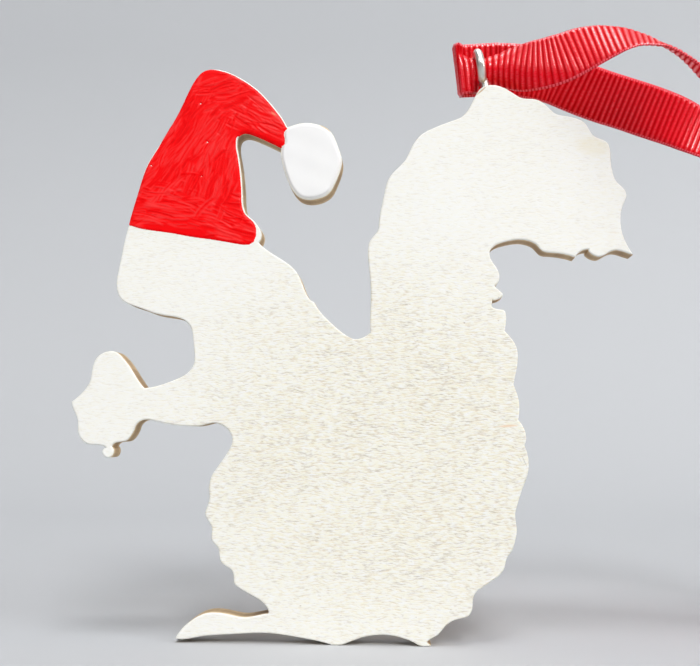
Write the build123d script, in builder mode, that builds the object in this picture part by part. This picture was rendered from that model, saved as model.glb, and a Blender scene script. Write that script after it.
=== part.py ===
from build123d import *
import math
import os

# Squirrel ornament sawn from three-layer plywood, with a painted hat, a screw
# eye in the tail and a ribbon loop through it. Millimetres. The board stands
# upright on two low bumps of its base, facing -Y, with its middle plane at y = 0.

# The board and its three glued layers
board_width = 77.6
board_height = 80.0
face_layer = 0.8
core_layer = 1.6

# The paint coats that stand proud of the front face
hat_paint_thickness = 0.2
pompom_paint_thickness = 0.25
paint_margin = 0.2

# The screw eye
wire_diameter = 1.2
ring_diameter = 5.4
ring_arc = 338.0
eye_lean = 10.5
eye_seat_shares = (0.7487, 0.9592)
neck_length = 0.5
shank_depth = 8.0
thread_pitch = 0.8
thread_depth = 0.14
point_length = 1.3
pilot_clearance = 0.04

# The ribbon: a tube of the same section area follows its middle line
ribbon_width = 7.6
ribbon_thickness = 0.4
arc_share = 0.45
knot_diameter = 6.4
knot_length = 6.0
knot_rounding = 0.9

# The silhouette, clockwise from the acorn's left tip, as shares of the board's
# width and height. Each table runs from one sharp corner to the next.
acorn_upper_shares = [
    (0.0, 0.4048), (0.020, 0.4214), (0.0325, 0.440), (0.0368, 0.466), (0.0446, 0.4822),
    (0.060, 0.4916), (0.076, 0.4922), (0.0901, 0.4826), (0.1096, 0.4579), (0.132, 0.428),
]
throat_shares = [
    (0.132, 0.428), (0.150, 0.4305), (0.1857, 0.4417), (0.208, 0.4525), (0.2206, 0.4687),
    (0.2214, 0.4912), (0.2188, 0.5144), (0.2136, 0.5351), (0.2006, 0.5472),
]
muzzle_shares = [
    (0.1801, 0.5531), (0.150, 0.5583), (0.120, 0.5688), (0.0836, 0.5868), (0.0771, 0.6026),
    (0.0811, 0.6458), (0.0875, 0.682),
]
hat_front_shares = [
    (0.0958, 0.716), (0.1045, 0.750), (0.1143, 0.7842), (0.1218, 0.8112), (0.1301, 0.8319),
    (0.1431, 0.8526), (0.1598, 0.8796), (0.1799, 0.9125), (0.2007, 0.9561), (0.2156, 0.9831),
]
hat_crown_shares = [
    (0.2286, 0.9957), (0.246, 1.0), (0.2694, 0.9962), (0.2999, 0.9817), (0.3299, 0.9606),
    (0.3576, 0.9314), (0.3743, 0.9102), (0.386, 0.8904),
]
pompom_shares = [
    (0.386, 0.8904), (0.4003, 0.8945), (0.4188, 0.8974), (0.440, 0.8945), (0.4601, 0.8859),
    (0.4705, 0.8733), (0.4801, 0.8499), (0.4862, 0.829), (0.483, 0.8094), (0.4745, 0.7878),
    (0.4643, 0.7707), (0.450, 0.7617), (0.430, 0.7577), (0.4114, 0.7613), (0.3984, 0.7725),
    (0.3873, 0.7923), (0.3789, 0.8166), (0.3743, 0.840), (0.3752, 0.853),
]
hat_underside_shares = [
    (0.3752, 0.853), (0.360, 0.8607), (0.340, 0.8702), (0.320, 0.8785), (0.307, 0.8808),
    (0.2975, 0.8765), (0.2937, 0.8662), (0.2969, 0.840), (0.3028, 0.800), (0.305, 0.770),
    (0.3063, 0.7501), (0.3127, 0.7336), (0.3255, 0.7223), (0.3346, 0.7114), (0.3404, 0.700),
    (0.3401, 0.6905), (0.3356, 0.682),
]
nape_shares = [
    (0.3356, 0.682), (0.350, 0.6695), (0.380, 0.6504), (0.4003, 0.6346), (0.4114, 0.6174),
    (0.4188, 0.5986), (0.430, 0.5796),
]
nape_step_shares = [(0.430, 0.5796), (0.4365, 0.5761)]
valley_shares = [
    (0.4365, 0.5761), (0.4439, 0.5639), (0.4601, 0.5459), (0.4801, 0.5279), (0.5002, 0.5144),
    (0.5098, 0.5113), (0.5201, 0.5126), (0.5373, 0.5225),
]
tail_left_shares = [
    (0.5373, 0.5225), (0.5368, 0.5504), (0.5384, 0.5846), (0.5368, 0.6188), (0.5336, 0.6501),
    (0.5334, 0.6700), (0.5368, 0.6836), (0.5507, 0.7007), (0.5535, 0.7178), (0.5578, 0.7448),
    (0.563, 0.768), (0.5714, 0.7941), (0.5881, 0.813), (0.5998, 0.8247), (0.6141, 0.8517),
    (0.6317, 0.8728), (0.6503, 0.8823), (0.680, 0.8936), (0.7078, 0.9057), (0.7162, 0.9165),
    (0.7301, 0.9426), (0.7415, 0.9558),
]
tail_top_shares = [
    (0.7552, 0.9593), (0.7738, 0.9561), (0.800, 0.941), (0.8120, 0.9341), (0.830, 0.9323),
    (0.8423, 0.9292), (0.860, 0.9147), (0.8711, 0.9047), (0.890, 0.8999), (0.9073, 0.8956),
    (0.9249, 0.8842), (0.9351, 0.8666), (0.945, 0.8594), (0.9590, 0.853), (0.9655, 0.840),
    (0.9663, 0.8216), (0.9688, 0.7982), (0.9756, 0.7811), (0.9886, 0.7676), (0.992, 0.7577),
    (0.9858, 0.7415), (0.9803, 0.719), (0.9821, 0.692), (0.9896, 0.6713), (1.0, 0.6533),
]
tail_tip_shares = [
    (1.0, 0.6533), (0.9849, 0.6582), (0.970, 0.6614), (0.9533, 0.6551), (0.9431, 0.6506),
    (0.9329, 0.6524), (0.9227, 0.6596),
]
tail_notch_shares = [(0.9227, 0.6596), (0.9227, 0.6636)]
tail_hook_shares = [(0.9227, 0.6636), (0.9097, 0.6605), (0.8995, 0.6501)]
tail_under_shares = [
    (0.8995, 0.6501), (0.880, 0.6555), (0.8599, 0.6583), (0.8429, 0.661), (0.8299, 0.674),
    (0.820, 0.6789), (0.800, 0.6819), (0.7801, 0.679), (0.760, 0.6726), (0.7501, 0.6624),
    (0.7511, 0.6489), (0.7603, 0.6345), (0.7659, 0.621), (0.7572, 0.6012),
]
back_upper_shares = [
    (0.7572, 0.6012), (0.7659, 0.5931), (0.7717, 0.5859), (0.7641, 0.579), (0.7529, 0.5769),
]
back_step_shares = [(0.7529, 0.5769), (0.7511, 0.567)]
back_shares = [
    (0.7511, 0.567), (0.7594, 0.5616), (0.7733, 0.5589), (0.7765, 0.5472), (0.7733, 0.5238),
]
flank_shares = [
    (0.7733, 0.5238), (0.7854, 0.5103), (0.7932, 0.4968), (0.7956, 0.4788), (0.791, 0.4502),
    (0.7869, 0.4331),
]
hip_shares = [(0.7869, 0.4331), (0.791, 0.4214), (0.7956, 0.4061), (0.7964, 0.3962), (0.794, 0.3725)]
hip_lower_shares = [(0.794, 0.3725), (0.8012, 0.3629), (0.8071, 0.3422), (0.8036, 0.3305)]
rump_shares = [
    (0.8036, 0.3305), (0.8096, 0.3107), (0.8099, 0.290), (0.7999, 0.2612), (0.7892, 0.2311),
    (0.7855, 0.2158), (0.7877, 0.1942), (0.7843, 0.1708), (0.7762, 0.1528), (0.7695, 0.1438),
    (0.7663, 0.1303), (0.7589, 0.1186), (0.7422, 0.106), (0.7246, 0.0938),
]
rump_step_shares = [(0.7246, 0.0938), (0.7205, 0.093)]
heel_shares = [
    (0.7205, 0.093), (0.7143, 0.0853), (0.7106, 0.0718), (0.7097, 0.061), (0.7032, 0.0502),
    (0.6883, 0.0453), (0.6744, 0.0407), (0.6614, 0.0308), (0.6466, 0.0164), (0.6345, 0.0045),
    (0.627, 0.0),
]
base_arch_shares = [
    (0.627, 0.0), (0.6104, 0.0060), (0.5936, 0.0122), (0.5741, 0.0168), (0.5488, 0.0178),
    (0.5201, 0.0130), (0.4931, 0.0029), (0.478, 0.0),
]
sole_shares = [
    (0.478, 0.0), (0.4569, 0.0038), (0.430, 0.0093), (0.400, 0.0138), (0.360, 0.0182),
    (0.320, 0.0173), (0.280, 0.0146), (0.240, 0.011), (0.2098, 0.0061), (0.197, 0.007),
]
foot_shares = [
    (0.197, 0.007), (0.2098, 0.0246), (0.2299, 0.0403), (0.2499, 0.0489), (0.2633, 0.0506),
    (0.290, 0.0475), (0.3201, 0.0435), (0.3402, 0.0466), (0.3595, 0.0502),
]
foot_step_shares = [(0.3595, 0.0502), (0.3599, 0.0538)]
belly_shares = [
    (0.3599, 0.0538), (0.3487, 0.0691), (0.3264, 0.0813), (0.3101, 0.0902), (0.2989, 0.1002),
    (0.298, 0.1123), (0.2930, 0.1218), (0.280, 0.1298), (0.2726, 0.1429), (0.2707, 0.1564),
    (0.2599, 0.1681), (0.2577, 0.178), (0.2581, 0.1924), (0.2512, 0.2032), (0.2462, 0.214),
    (0.2488, 0.2248), (0.2532, 0.2378), (0.2525, 0.2585), (0.2553, 0.2747), (0.2633, 0.2886),
    (0.280, 0.3107), (0.2883, 0.3242), (0.2926, 0.3359), (0.2893, 0.3503), (0.2763, 0.3629),
    (0.2577, 0.3679), (0.2401, 0.3638), (0.215, 0.3624), (0.1899, 0.3643), (0.160, 0.3697),
    (0.130, 0.3728), (0.1179, 0.3634),
]
acorn_cup_shares = [
    (0.1179, 0.3634), (0.1105, 0.3463), (0.1003, 0.3368), (0.0826, 0.3342), (0.0761, 0.3274),
]
acorn_stalk_shares = [
    (0.0761, 0.3274), (0.0795, 0.3166), (0.0743, 0.3094), (0.065, 0.3098), (0.0591, 0.3166),
    (0.065, 0.326),
]
acorn_lower_shares = [
    (0.065, 0.326), (0.052, 0.3306), (0.0334, 0.3315), (0.0201, 0.340), (0.0139, 0.3526),
    (0.0115, 0.376), (0.0037, 0.3922), (0.0, 0.4048),
]

# The red coat's lower border across the head, from its right end leftward, and
# the short border between the red coat and the pompom
hat_border_shares = [
    (0.3303, 0.6785), (0.3148, 0.6781), (0.290, 0.6819), (0.250, 0.689), (0.210, 0.6948),
    (0.180, 0.7007), (0.150, 0.7052), (0.120, 0.7102), (0.1010, 0.716),
]
pompom_border_shares = [
    (0.386, 0.8875), (0.3808, 0.8706), (0.3817, 0.8634), (0.3765, 0.8560),
]

# Where the ribbon runs, in its own places: from behind the ring round a fold,
# through the ring and to the right in front; and behind the board to the right.
fold_join = (21.8, 4.8, 81.0)
front_route = [
    fold_join, (15.8, 4.4, 80.9), (15.8, 0.0, 79.9), (21.6, -0.3, 79.75), (27.6, -2.6, 78.9),
    (34.0, -4.0, 81.2), (40.8, -4.6, 83.2), (47.6, -4.6, 80.1), (54.0, -4.2, 73.6),
    (59.4, -3.4, 65.2), (63.0, -2.2, 55.6), (65.4, -1.0, 45.0), (67.0, 0.4, 34.2),
    (68.4, 2.2, 23.6), (70.6, 4.4, 14.0), (74.8, 6.2, 6.6), (81.4, 7.1, 3.2), (88.0, 7.1, 3.2),
]
rear_route = [
    fold_join, (27.8, 5.2, 81.1), (34.8, 6.4, 77.8), (42.4, 7.6, 74.5), (50.4, 8.8, 71.6),
    (57.2, 10.2, 66.6), (62.4, 11.6, 58.6), (65.8, 12.8, 48.4), (68.0, 13.8, 37.4),
    (69.8, 14.2, 26.4), (71.8, 13.4, 16.2), (75.6, 11.2, 7.8), (81.8, 9.3, 3.2), (88.0, 9.3, 3.2),
]
front_tail_route = [(94.0, 7.1, 3.2), (98.2, 7.1, 3.2), (103.0, 5.4, 1.4), (107.6, 2.0, 1.2)]
rear_tail_route = [(94.0, 9.3, 3.2), (98.0, 9.3, 3.2), (102.6, 11.6, 1.4), (108.4, 13.4, 1.2)]
knot_place = (88.0, 8.2, 3.2)

# Sizes that follow
half_core = core_layer / 2
front_face = half_core + face_layer
wire_radius = wire_diameter / 2
ring_radius = ring_diameter / 2 - wire_radius
ribbon_tube_radius = math.sqrt(ribbon_width * ribbon_thickness / math.pi)


def on_board(shares):
    """Places in the board's front view for shares of its width and height."""
    return [((x - 0.5) * board_width, z * board_height) for x, z in shares]


def drawn_in(points, margin):
    """The same line moved to its right-hand side, which is the board's inside."""
    moved = []
    for index, (x, z) in enumerate(points):
        x_before, z_before = points[max(index - 1, 0)]
        x_after, z_after = points[min(index + 1, len(points) - 1)]
        run = math.hypot(x_after - x_before, z_after - z_before)
        along_x = (x_after - x_before) / run
        along_z = (z_after - z_before) / run
        moved.append((x + along_z * margin, z - along_x * margin))
    return moved


def end_direction(points, first, second):
    """The direction from one point of a line to another."""
    return (points[second][0] - points[first][0], points[second][1] - points[first][1])


def board_sketch(level):
    """The whole silhouette on a plane that lies this far in front of the middle."""
    leftward = (-1, 0)
    edges = [
        acorn_upper_shares, throat_shares + muzzle_shares + hat_front_shares + hat_crown_shares,
        pompom_shares, hat_underside_shares, nape_shares, nape_step_shares, valley_shares,
        tail_left_shares + tail_top_shares, tail_tip_shares, tail_notch_shares,
        tail_hook_shares, tail_under_shares, back_upper_shares, back_step_shares, back_shares,
        flank_shares, hip_shares, hip_lower_shares, rump_shares, rump_step_shares,
        foot_shares, foot_step_shares, belly_shares, acorn_cup_shares, acorn_stalk_shares,
        acorn_lower_shares,
    ]
    heel = on_board(heel_shares)
    arch = on_board(base_arch_shares)
    sole = on_board(sole_shares)
    with BuildSketch(Plane.XZ.offset(level)) as silhouette:
        with BuildLine():
            for shares in edges:
                if len(shares) == 2:
                    Line(*on_board(shares))
                else:
                    Spline(*on_board(shares))
            # The base touches the ground level at its two bumps only.
            Spline(*heel, tangents=(end_direction(heel, 0, 1), leftward))
            Spline(*arch, tangents=(leftward, leftward))
            Spline(*sole, tangents=(leftward, end_direction(sole, -2, -1)))
        make_face()
    return silhouette.sketch


def hat_paint_sketch():
    """The red coat's outline on the front face."""
    crown = drawn_in(on_board(hat_front_shares + hat_crown_shares), paint_margin)
    underside = drawn_in(on_board(hat_underside_shares), paint_margin)
    lower = on_board(hat_border_shares)
    join = on_board(pompom_border_shares)
    with BuildSketch(Plane.XZ.offset(front_face)) as coat:
        with BuildLine():
            Spline(*crown)
            Line(crown[-1], join[0])
            Spline(*join)
            Line(join[-1], underside[0])
            Spline(*underside)
            Line(underside[-1], lower[0])
            Spline(*lower)
            Line(lower[-1], crown[0])
        make_face()
    return coat.sketch


def pompom_paint_sketch():
    """The white coat's outline on the front face, up to the red coat."""
    rim = drawn_in(on_board(pompom_shares), paint_margin)
    join = [(x + paint_margin / 2, z) for x, z in on_board(pompom_border_shares)]
    with BuildSketch(Plane.XZ.offset(front_face)) as coat:
        with BuildLine():
            Spline(*rim)
            Line(rim[-1], join[-1])
            Spline(*join)
            Line(join[0], rim[0])
        make_face()
    return coat.sketch


def bend_radii(name, points, width):
    """One radius for each corner of a route, as large as the runs beside it allow."""
    places = [Vector(*point) for point in points]
    radii = []
    for before, corner, after in zip(places, places[1:], places[2:]):
        turn = math.radians((corner - before).get_angle(after - corner))
        shorter = min((corner - before).length, (after - corner).length)
        radii.append(arc_share * shorter / math.tan(turn / 2))
    print(name, "least radius", round(min(radii), 2), "in widths", round(min(radii) / width, 2))
    return radii


def ribbon_tube(name, points):
    """A plain tube along a route of straight runs joined by tangent arcs."""
    radii = bend_radii(name, points, ribbon_tube_radius * 2)
    with BuildPart() as tube:
        with BuildLine() as route:
            FilletPolyline(*points, radius=radii)
        middle = route.wires()[0]
        with BuildSketch(Plane(origin=middle @ 0, z_dir=middle % 0)):
            Circle(ribbon_tube_radius)
        sweep(path=middle)
    section_volume = math.pi * ribbon_tube_radius**2 * middle.length
    volume_share = round(tube.part.volume / section_volume, 4)
    print(name, "length", round(middle.length, 1), "volume share", volume_share)
    return tube


# Where the screw eye stands: its axis leans in the board's plane, and its ring
# is edge-on to the front view.
lean = math.radians(eye_lean)
axis_up = Vector(-math.sin(lean), 0, math.cos(lean))
ring_normal = Vector(math.cos(lean), 0, math.sin(lean))
seat_x, seat_z = on_board([eye_seat_shares])[0]
eye_seat = Vector(seat_x, 0, seat_z)
ring_centre = eye_seat + axis_up * (neck_length + wire_radius + ring_radius)
eye_plane = Plane(origin=ring_centre, x_dir=(0, 1, 0), z_dir=ring_normal)
shank_top = -ring_radius
shank_end = -(ring_radius + wire_radius + neck_length + shank_depth)

front_face_sketch = board_sketch(half_core)
core_face_sketch = board_sketch(-half_core)
back_face_sketch = board_sketch(-front_face)
hat_coat_sketch = hat_paint_sketch()
pompom_coat_sketch = pompom_paint_sketch()

# The front layer, with the whitewashed face
with BuildPart() as front_ply:
    extrude(front_face_sketch, amount=face_layer)
front_ply.part.label = "front_ply"

# The middle layer, with the pilot hole for the screw eye
with BuildPart() as core_ply:
    extrude(core_face_sketch, amount=core_layer)
    with BuildSketch(Plane(origin=ring_centre, x_dir=(0, 1, 0), z_dir=-axis_up)):
        Circle(wire_radius + pilot_clearance)
    extrude(amount=-shank_end + pilot_clearance, mode=Mode.SUBTRACT)
core_ply.part.label = "core_ply"

# The back layer
with BuildPart() as back_ply:
    extrude(back_face_sketch, amount=face_layer)
back_ply.part.label = "back_ply"

# The red coat on the hat
with BuildPart() as hat_paint:
    extrude(hat_coat_sketch, amount=hat_paint_thickness)
hat_paint.part.label = "hat_paint"

# The thick white coat on the pompom
with BuildPart() as pompom_paint:
    extrude(pompom_coat_sketch, amount=pompom_paint_thickness)
pompom_paint.part.label = "pompom_paint"

# The screw eye: a bent ring, a neck, a threaded shank and a point
thread_top = -(ring_radius + wire_radius + neck_length)
point_start = shank_end + point_length
thread_turns = int((thread_top - point_start) / thread_pitch)
with BuildPart() as screw_eye:
    with BuildLine(eye_plane) as bend:
        CenterArc((0, 0), ring_radius, -90, ring_arc)
    ring = bend.wires()[0]
    with BuildSketch(Plane(origin=ring @ 0, z_dir=ring % 0)):
        Circle(wire_radius)
    sweep(path=ring)
    with BuildSketch(eye_plane):
        with BuildLine():
            side = [(0, shank_top), (wire_radius, shank_top), (wire_radius, thread_top)]
            for turn in range(thread_turns):
                crest = thread_top - (turn + 0.5) * thread_pitch
                side.append((wire_radius - thread_depth, crest + thread_pitch / 4))
                side.append((wire_radius, crest - thread_pitch / 2))
            side.append((wire_radius - thread_depth, point_start))
            side.append((0, shank_end))
            Polyline(*side, close=True)
        make_face()
    revolve(axis=Axis(origin=ring_centre, direction=axis_up))
screw_eye.part.label = "screw_eye"

# The ribbon's two long strands
ribbon_front_strand = ribbon_tube("ribbon_front_strand", front_route)
ribbon_front_strand.part.label = "ribbon_front_strand"
ribbon_rear_strand = ribbon_tube("ribbon_rear_strand", rear_route)
ribbon_rear_strand.part.label = "ribbon_rear_strand"

# The knot that ties the strands, lying on the ground
with BuildPart() as ribbon_knot:
    with BuildSketch(Plane(origin=knot_place, x_dir=(0, 1, 0), z_dir=(1, 0, 0))):
        Circle(knot_diameter / 2)
    extrude(amount=knot_length)
    fillet(ribbon_knot.edges().filter_by(GeomType.CIRCLE), radius=knot_rounding)
ribbon_knot.part.label = "ribbon_knot"

# The two short ends past the knot
ribbon_front_tail = ribbon_tube("ribbon_front_tail", front_tail_route)
ribbon_front_tail.part.label = "ribbon_front_tail"
ribbon_rear_tail = ribbon_tube("ribbon_rear_tail", rear_tail_route)
ribbon_rear_tail.part.label = "ribbon_rear_tail"

os.makedirs("parts", exist_ok=True)
for piece in [
    front_ply, core_ply, back_ply, hat_paint, pompom_paint, screw_eye, ribbon_front_strand,
    ribbon_rear_strand, ribbon_knot, ribbon_front_tail, ribbon_rear_tail,
]:
    export_step(piece.part, f"parts/{piece.part.label}.step")

print("ring centre", [round(place, 2) for place in ring_centre])
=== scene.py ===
import math
import random

import bmesh
import bpy
import numpy as np
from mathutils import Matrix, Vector


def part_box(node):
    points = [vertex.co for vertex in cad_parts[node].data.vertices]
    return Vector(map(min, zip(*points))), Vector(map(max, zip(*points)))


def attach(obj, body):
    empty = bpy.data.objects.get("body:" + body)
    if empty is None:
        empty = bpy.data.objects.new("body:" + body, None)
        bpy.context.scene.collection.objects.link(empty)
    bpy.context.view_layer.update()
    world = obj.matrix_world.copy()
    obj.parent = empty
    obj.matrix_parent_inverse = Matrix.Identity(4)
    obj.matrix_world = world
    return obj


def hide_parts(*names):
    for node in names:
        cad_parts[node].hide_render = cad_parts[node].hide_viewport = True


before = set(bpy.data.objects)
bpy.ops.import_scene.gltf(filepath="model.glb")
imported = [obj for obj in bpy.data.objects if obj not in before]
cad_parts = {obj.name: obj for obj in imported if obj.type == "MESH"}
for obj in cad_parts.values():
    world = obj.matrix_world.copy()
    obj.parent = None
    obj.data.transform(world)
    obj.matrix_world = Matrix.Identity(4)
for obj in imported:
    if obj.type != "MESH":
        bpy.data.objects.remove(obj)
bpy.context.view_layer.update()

# The viewpoint: close in front of the board, low and a little to the right of its
# middle, tilted up and turned slightly left, through a 46 mm lens.
MM = 0.001
camera_data = bpy.data.cameras.new("camera")
camera_data.sensor_fit = "HORIZONTAL"
camera_data.sensor_width = 36
camera_data.lens = 46.29
camera_data.clip_start = 0.005
camera = bpy.data.objects.new("camera", camera_data)
camera.location = (7.55 * MM, -124.6 * MM, 28.33 * MM)
camera.rotation_euler = (math.radians(90 + 6.214), 0, math.radians(3.477))
bpy.context.scene.collection.objects.link(camera)
bpy.context.scene.camera = camera
bpy.context.scene.view_settings.view_transform = "Standard"

# The ribbon: one length of red grosgrain, 7.6 mm wide, woven with a thick weft
# that stands as ribs across it and with a plain woven edge on each side. It
# goes behind the ring, folds round and comes forward through it, bunched up.
RIBBON_HALF_WIDTH = 3.8 * MM
SELVEDGE_HALF_THICKNESS = 0.11 * MM
RIB_HEIGHT = 0.16 * MM
RIB_PITCH = 0.80 * MM
RIB_ROUNDNESS = 0.6
INNER_SHARE = 0.92
INNER_EDGE = 0.03
SELVEDGE_SQUARENESS = 24
SAMPLES_PER_RIB = 8
BAND_COLUMNS = 40
LINE_SAMPLES = 1200
SPAN_SAMPLES = 161
CUT_REACH = 3 * MM
SEAM_WELD = 0.002 * MM
ring_centre = Vector((18.72, 0, 79.88)) * MM
fold_join = (21.8, 4.8, 81.6)
front_route = [
    fold_join, (16.3, 4.8, 81.4), (15.4, 4.5, 81.3), (15.6, 0.6, 79.85), (15.75, -0.2, 79.75),
    (17.8, -0.15, 79.95), (21.6, -0.3, 79.95), (27.6, -2.6, 79.25),
    (34.0, -4.0, 81.4), (39.6, -4.6, 82.05), (45.6, -4.6, 79.6), (52.0, -4.2, 72.0),
    (57.8, -3.4, 64.0), (62.4, -2.2, 55.2), (65.2, -1.0, 45.0), (67.0, 0.4, 34.2),
    (68.4, 2.2, 23.6), (70.6, 4.4, 14.0), (74.8, 6.2, 6.6), (81.4, 7.1, 3.2), (88.0, 7.1, 3.2),
]
rear_route = [
    (21.3, 4.9, 81.6), (27.8, 5.2, 81.4), (34.8, 6.2, 78.3), (42.4, 7.2, 76.1), (50.4, 8.2, 73.4),
    (57.0, 9.8, 69.2), (62.2, 11.4, 60.2), (65.8, 12.8, 48.8), (68.0, 13.8, 37.4),
    (69.8, 14.2, 26.4), (71.8, 13.4, 16.2), (75.6, 11.2, 7.8), (81.8, 9.3, 3.2), (88.0, 9.3, 3.2),
]
# How a strand is turned and rolled: the distance along in millimetres, the
# direction of its upper edge, and how far its upper and lower halves curl back
# in degrees.
front_turns = [
    (0.0, (0, -0.3, 1), 0, 0),
    (4.0, (0, -0.3, 1), 0, 0),
    (6.0, (-0.05, -0.3, 1), 0, 0),
    (7.0, (-0.13, -0.2, 1), 0, 0),
    (10.4, (-0.13, 0.1, 1), 4, 0),
    (10.9, (-0.2, 0, 1), 24, 0),
    (11.2, (-0.22, 0, 1), 48, 0),
    (11.5, (-0.25, 0, 1), 66, 0),
    (12.1, (-0.2, 0, 1), 96, 6),
    (12.7, (-0.1, 0, 1), 124, 20),
    (13.3, (0, 0, 1), 150, 60),
    (13.8, (0, 0, 1), 162, 120),
    (14.2, (0, 0, 1), 168, 165),
    (14.8, (0, 0, 1), 128, 148),
    (15.7, (0, 0, 1), 102, 122),
    (16.6, (0, 0, 1), 80, 102),
    (17.6, (0, 0, 1), 58, 84),
    (18.6, (0, 0.05, 1), 40, 68),
    (19.6, (0, 0.1, 1), 22, 56),
    (21.3, (0, 0.12, 1), 8, 44),
    (24.5, (0, 0.16, 1), 0, 28),
    (28.3, (0, 0.28, 0.96), 0, 8),
    (31.3, (0, 0.485, 0.875), 0, 0),
    (33.3, (0, 0.643, 0.766), 0, 0),
    (35.9, (0, 0.788, 0.616), 0, 0),
    (39.5, (0, 0.875, 0.485), 0, 0),
    (42.6, (0, 0.875, 0.485), 0, 0),
    (46.1, (0, 0.899, 0.438), 0, 0),
    (52.1, (0, 0.94, 0.342), 0, 0),
    (60.1, (0, 0.985, 0.174), 0, 0),
    (68.1, (0, 1, 0), 0, 0),
    (114.1, (0, 1, 0.05), 0, 0),
    (128.1, (0, 1, 0.1), 70, 70),
    (138.1, (0, 1, 0.5), 165, 165),
]
rear_turns = [
    (0.0, (0, -0.3, 1), 0, 0),
    (6.0, (0, -0.45, 1), 0, 0),
    (12.0, (0, -0.6, 1), 0, 0),
    (21.0, (0, -0.6, 1), 0, 0),
    (26.0, (0, -0.3, 1), 0, 0),
    (30.0, (0, -0.1, 1), 0, 0),
    (37.0, (0, 0.4, 1), 0, 0),
    (46.0, (0, 1, 0.5), 0, 0),
    (56.0, (0, 1, 0), 0, 0),
    (94.0, (0, 1, -0.05), 0, 0),
    (106.0, (0, 1, -0.1), 70, 70),
    (116.0, (0, 1, -0.4), 165, 165),
]


def new_material(name):
    """An empty material with its node tree and its main shader."""
    made = bpy.data.materials.new(name)
    made.use_nodes = True
    return made, made.node_tree, made.node_tree.nodes["Principled BSDF"]


def node(tree, kind, inputs=None, **settings):
    """A node with its settings and its inputs, each a value or another node's output."""
    made = tree.nodes.new(kind)
    for key, value in settings.items():
        setattr(made, key, value)
    for key, value in (inputs or {}).items():
        if isinstance(value, bpy.types.NodeSocket):
            tree.links.new(value, made.inputs[key])
        else:
            made.inputs[key].default_value = value
    return made


def screen(red, green, blue):
    """A colour given in screen values from 0 to 255."""
    parts = [channel / 255 for channel in (red, green, blue)]
    linear = [p / 12.92 if p <= 0.04045 else ((p + 0.055) / 1.055) ** 2.4 for p in parts]
    return (*linear, 1)


def calc(tree, operation, *values, clamp=False):
    """The result of one sum."""
    inputs = dict(enumerate(values))
    return node(tree, "ShaderNodeMath", inputs, operation=operation, use_clamp=clamp).outputs[0]


def ramp(tree, value, stops):
    """A colour ramp over a value, from (place, colour) stops."""
    made = node(tree, "ShaderNodeValToRGB", {"Fac": value})
    elements = made.color_ramp.elements
    while len(elements) < len(stops):
        elements.new(0.5)
    for element, (place, colour) in zip(elements, stops):
        element.position = place
        element.color = colour
    return made.outputs["Color"]


def between(tree, value, low, high):
    """A value's share of the way from low to high, held within 0 and 1."""
    made = node(tree, "ShaderNodeMapRange", {"Value": value, "From Min": low, "From Max": high})
    return made.outputs[0]


def mix_colours(tree, share, first, second, blend="MIX"):
    """Two colours mixed by a share."""
    inputs = {0: share, 6: first, 7: second}
    return node(tree, "ShaderNodeMix", inputs, data_type="RGBA", blend_type=blend).outputs[2]


def noise(tree, coordinates, scales, detail=2.0, roughness=0.5, distortion=0.0):
    """Noise over coordinates stretched by a scale for each axis."""
    mapping = node(tree, "ShaderNodeMapping", {"Vector": coordinates, "Scale": scales})
    inputs = {
        "Vector": mapping.outputs[0],
        "Scale": 1.0,
        "Detail": detail,
        "Roughness": roughness,
        "Distortion": distortion,
    }
    return node(tree, "ShaderNodeTexNoise", inputs).outputs["Fac"]


def roughen(tree, shader, height, strength, depth):
    """Bumps that follow a height, given to the shader."""
    inputs = {"Height": height, "Strength": strength, "Distance": depth}
    bump = node(tree, "ShaderNodeBump", inputs)
    tree.links.new(bump.outputs[0], shader.inputs["Normal"])


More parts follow.
